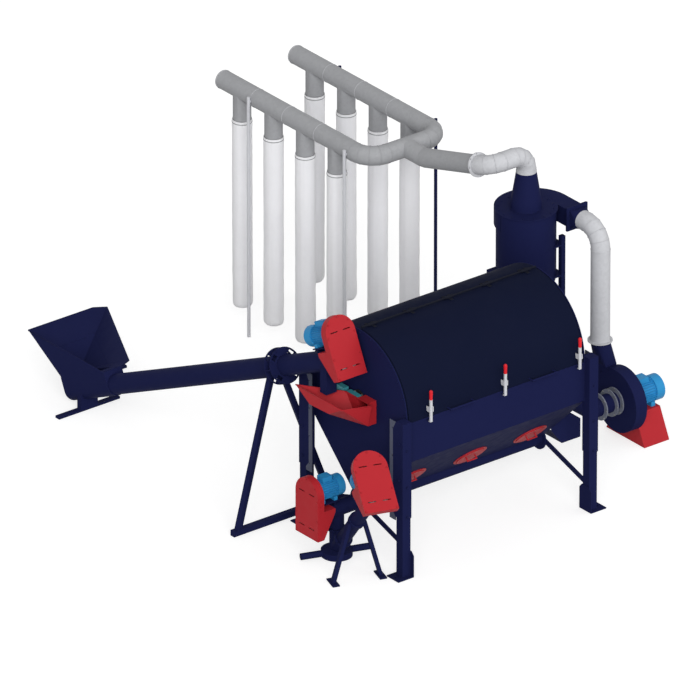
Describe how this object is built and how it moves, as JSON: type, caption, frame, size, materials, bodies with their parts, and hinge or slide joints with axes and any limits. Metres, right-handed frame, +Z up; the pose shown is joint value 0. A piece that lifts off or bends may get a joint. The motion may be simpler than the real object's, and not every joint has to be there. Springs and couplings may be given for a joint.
{
  "type": "rotary drum grain cleaner",
  "caption": "Rotary drum cleaner with an inclined feed auger, hinged hood, screw trough, lifting screw, fan, cyclone and filter bags.",
  "frame": {"origin": "on the floor, at the middle of the four anchor holes in the foot plates", "axes": "+X along the drum to the fan end, -Y to the lid and latch side, +Z up"},
  "size_m": [3.8961, 4.9957, 2.438],
  "materials": {
    "navy": "semi-gloss navy enamel over sheet steel",
    "red": "semi-gloss red enamel",
    "motor_blue": "gloss blue enamel on ribbed castings",
    "gearmotor_teal": "gloss teal enamel",
    "duct_zinc": "dull galvanised sheet",
    "bright_steel": "zinc plated steel",
    "worn_steel": "bare steel polished by grain",
    "cast_black": "painted iron castings",
    "belt_rubber": "black rubber belts",
    "bag_cloth": "white needle-felt filter cloth"
  },
  "bodies": {
    "machine": {"tub": "navy", "end_plate_left": "navy", "end_plate_right": "navy", "rear_hood": "navy", "drum_bearings": "cast_black", "drum_gearmotor": "gearmotor_teal", "latch_keepers": "navy", "inspection_covers": "red", "sleeves_left": "navy", "sleeves_right": "navy", "braces": "navy", "feed_chute": "red", "feed_tube": "navy", "feed_hopper": "navy", "feed_motor": "motor_blue", "feed_guard": "red", "auger_stand": "navy", "trough_tube": "navy", "trough_motor": "motor_blue", "trough_guard": "red", "boot": "navy", "lift_tube": "navy", "lift_motor": "motor_blue", "lift_guard": "red", "lift_stand": "navy", "belts": "belt_rubber", "discharge_chute": "navy", "suction_duct": "duct_zinc", "fan_scroll": "navy", "fan_motor": "motor_blue", "fan_pedestal": "red", "riser_duct": "duct_zinc", "cyclone": "navy", "cyclone_inlet": "navy", "cyclone_stand": "navy", "clean_air_pipe": "duct_zinc", "manifold_tee": "duct_zinc", "manifold_left": "duct_zinc", "manifold_right": "duct_zinc", "bags_left": "bag_cloth", "bags_right": "bag_cloth", "bag_poles": "navy"},
    "lid": {"lid": "navy"},
    "drum": {"drum": "worn_steel", "drum_screen": "bright_steel"},
    "latch_left": {"latch_left": "bright_steel"},
    "latch_middle": {"latch_middle": "bright_steel"},
    "latch_right": {"latch_right": "bright_steel"},
    "leg_front_left": {"leg_front_left": "navy"},
    "leg_front_right": {"leg_front_right": "navy"},
    "leg_rear_left": {"leg_rear_left": "navy"},
    "leg_rear_right": {"leg_rear_right": "navy"},
    "feed_screw": {"feed_screw": "worn_steel"},
    "feed_motor_pulley": {"feed_motor_pulley": "bright_steel"},
    "trough_screw": {"trough_screw": "worn_steel"},
    "trough_motor_pulley": {"trough_motor_pulley": "bright_steel"},
    "lift_screw": {"lift_screw": "worn_steel"},
    "lift_motor_pulley": {"lift_motor_pulley": "bright_steel"},
    "fan_rotor": {"fan_rotor": "bright_steel"},
    "dust_gate": {"dust_gate": "bright_steel"}
  },
  "joints": [
    {"name": "lid_hinge", "type": "hinge", "parent": "machine", "child": "lid", "pos_m": [0, 0, 1.941], "axis": [-1, 0, 0], "range_deg": [0, 70]},
    {"name": "drum_spin", "type": "hinge", "parent": "machine", "child": "drum", "pos_m": [0, 0, 1.322], "axis": [1, 0, 0], "continuous": true},
    {"name": "latch_left_rock", "type": "hinge", "parent": "lid", "child": "latch_left", "pos_m": [-0.684, -0.632, 1.4], "axis": [-1, 0, 0], "range_deg": [0, 15], "stiffness_Nm_per_rad": 2},
    {"name": "latch_middle_rock", "type": "hinge", "parent": "lid", "child": "latch_middle", "pos_m": [0.071, -0.632, 1.4], "axis": [-1, 0, 0], "range_deg": [0, 15], "stiffness_Nm_per_rad": 2},
    {"name": "latch_right_rock", "type": "hinge", "parent": "lid", "child": "latch_right", "pos_m": [0.831, -0.632, 1.4], "axis": [-1, 0, 0], "range_deg": [0, 15], "stiffness_Nm_per_rad": 2},
    {"name": "leg_front_left_slide", "type": "slide", "parent": "machine", "child": "leg_front_left", "axis": [0, 0, -1], "range_m": [0, 0.25]},
    {"name": "leg_front_right_slide", "type": "slide", "parent": "machine", "child": "leg_front_right", "axis": [0, 0, -1], "range_m": [0, 0.25]},
    {"name": "leg_rear_left_slide", "type": "slide", "parent": "machine", "child": "leg_rear_left", "axis": [0, 0, -1], "range_m": [0, 0.25]},
    {"name": "leg_rear_right_slide", "type": "slide", "parent": "machine", "child": "leg_rear_right", "axis": [0, 0, -1], "range_m": [0, 0.25]},
    {"name": "feed_screw_spin", "type": "hinge", "parent": "machine", "child": "feed_screw", "pos_m": [-1.092, -0.0571, 1.74962], "axis": [0, -0.9063, 0.4226], "continuous": true},
    {"name": "feed_motor_spin", "type": "hinge", "parent": "machine", "child": "feed_motor_pulley", "pos_m": [-1.092, 0.03292, 1.94267], "axis": [0, -0.9063, 0.4226], "continuous": true},
    {"name": "trough_screw_spin", "type": "hinge", "parent": "machine", "child": "trough_screw", "pos_m": [-1.407, 0, 0.416], "axis": [-1, 0, 0], "continuous": true},
    {"name": "trough_motor_spin", "type": "hinge", "parent": "machine", "child": "trough_motor_pulley", "pos_m": [-1.407, 0, 0.629], "axis": [-1, 0, 0], "continuous": true},
    {"name": "lift_screw_spin", "type": "hinge", "parent": "machine", "child": "lift_screw", "pos_m": [-1.4146, -0.85744, 0.96556], "axis": [-0.2185, -0.6725, 0.7071], "continuous": true},
    {"name": "lift_motor_spin", "type": "hinge", "parent": "machine", "child": "lift_motor_pulley", "pos_m": [-1.36806, -0.71419, 1.11617], "axis": [-0.2185, -0.6725, 0.7071], "continuous": true},
    {"name": "fan_spin", "type": "hinge", "parent": "machine", "child": "fan_rotor", "pos_m": [1.861, 0.191, 0.368], "axis": [1, 0, 0], "continuous": true},
    {"name": "dust_gate_slide", "type": "slide", "parent": "machine", "child": "dust_gate", "axis": [1, 0, 0], "range_m": [0, 0.15]}
  ],
  "couplings": [
    {"joint": "feed_motor_spin", "follows": "feed_screw_spin", "ratio": 1.9792},
    {"joint": "trough_motor_spin", "follows": "trough_screw_spin", "ratio": 1.9792},
    {"joint": "lift_motor_spin", "follows": "lift_screw_spin", "ratio": 1.9792}
  ]
}
